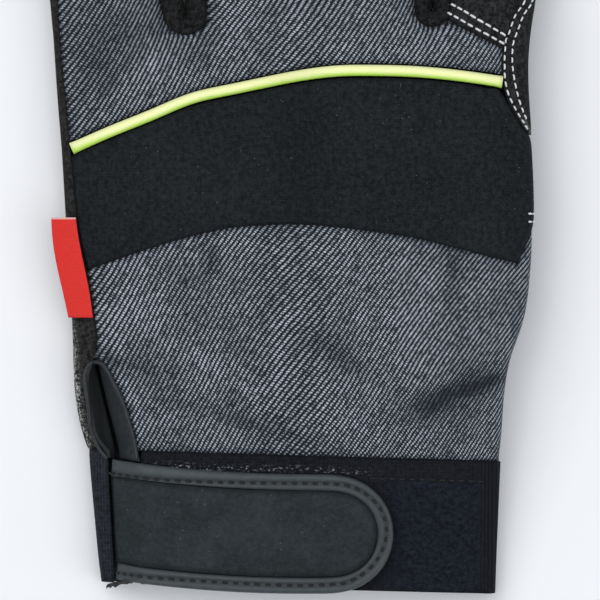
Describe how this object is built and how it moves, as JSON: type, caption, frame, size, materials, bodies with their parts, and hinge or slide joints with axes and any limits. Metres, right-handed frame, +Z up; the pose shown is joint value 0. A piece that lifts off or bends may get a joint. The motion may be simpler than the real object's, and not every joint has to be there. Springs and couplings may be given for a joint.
{
  "type": "mechanic glove",
  "caption": "Left work glove lying on its palm: denim back with a knit knuckle band, lime piping, suede palm and fingers, elastic cuff and a fastened hook-and-loop wrist strap.",
  "frame": {"origin": "on the flat underside of the palm, where it rests, level with the middle of the hand's back and towards the little finger's side", "axes": "+X across the hand towards the thumb side, +Y from the cuff to the fingertips, +Z up out of the back of the hand"},
  "size_m": [0.1267, 0.2272, 0.0284],
  "materials": {
    "denim": "coarse dark indigo twill with light specks",
    "knit": "smooth fine black knit",
    "suede": "black synthetic suede",
    "elastic": "ribbed black elastic",
    "loop": "dark navy loop cloth",
    "binding": "smooth dark grey leatherette",
    "neoprene": "dark cloth-faced foam rubber",
    "piping": "glossy lime",
    "label": "red woven",
    "hook": "black hook tape"
  },
  "bodies": {
    "root": {"back_lower": "denim", "knuckle_band": "knit", "piping": "piping", "back_upper": "denim", "index_back": "suede", "fourchette_little_ring": "suede", "fourchette_ring_middle": "suede", "fourchette_middle_index": "suede", "outer_side": "suede", "thumb_saddle": "suede", "slit_binding": "binding", "side_label": "label", "palm": "suede", "thumb_back": "suede", "thumb_front": "suede", "cuff_back": "loop", "cuff_elastic": "elastic", "strap_hook": "hook", "strap_body": "neoprene", "strap_binding": "binding"}
  },
  "joints": []
}
